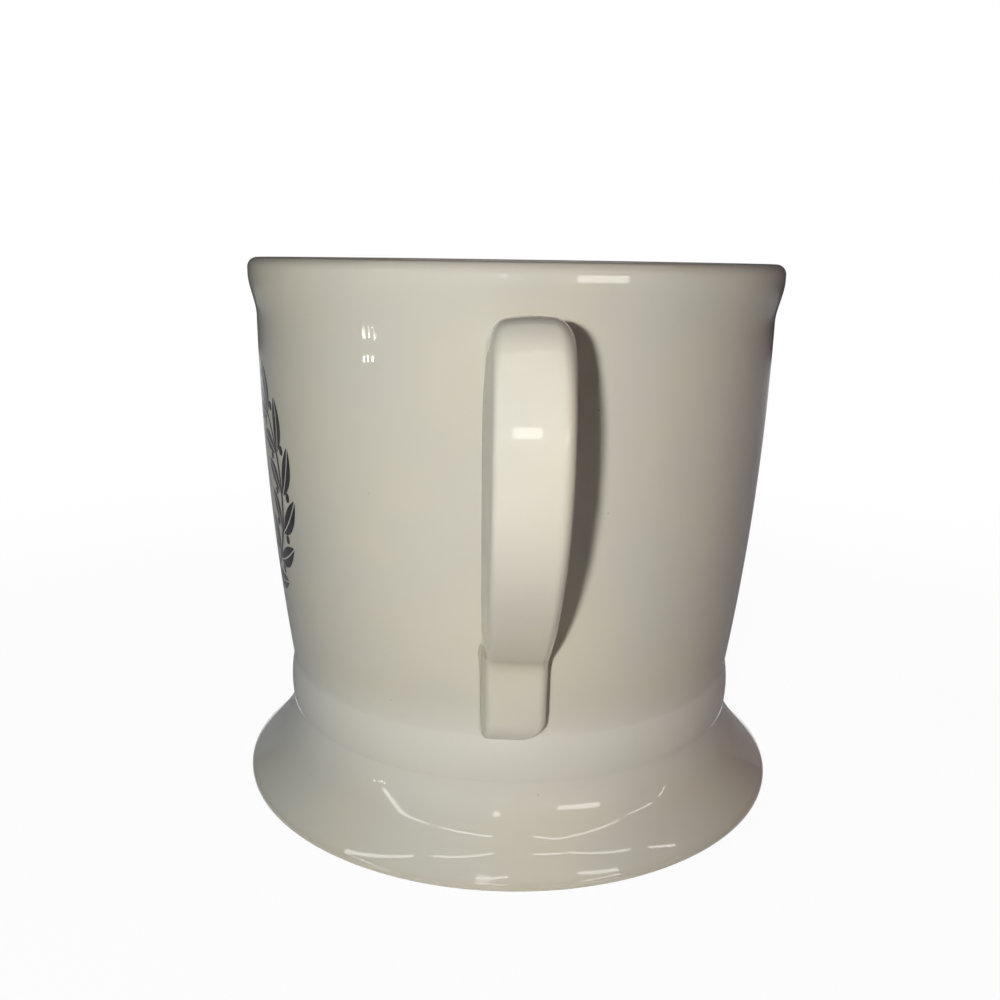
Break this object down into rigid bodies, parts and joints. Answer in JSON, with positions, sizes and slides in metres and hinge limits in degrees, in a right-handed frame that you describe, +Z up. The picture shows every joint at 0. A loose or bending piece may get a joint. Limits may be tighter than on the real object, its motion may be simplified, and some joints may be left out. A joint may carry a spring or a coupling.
{
  "type": "coffee mug",
  "caption": "White glazed ceramic coffee mug: a bowed cup with a rolled lip on a flared hollow foot, and a strap handle whose tail runs down the wall.",
  "frame": {"origin": "on the table, under the middle of the whole mug's box, handle included; the cup's axis stands 11.49 mm towards +Y from it", "axes": "+Z up along the cup's axis, -Y out through the handle, +X to the right of someone who faces the handle"},
  "size_m": [0.1062, 0.1292, 0.0997],
  "materials": {
    "glaze": "glossy off-white glaze",
    "slip": "glossy off-white glaze over joining slip"
  },
  "bodies": {
    "root": {"cup_body": "glaze", "foot_skirt": "glaze", "foot_seam_slip": "slip", "handle": "glaze", "upper_handle_slip": "slip", "lower_handle_slip": "slip"}
  },
  "joints": []
}
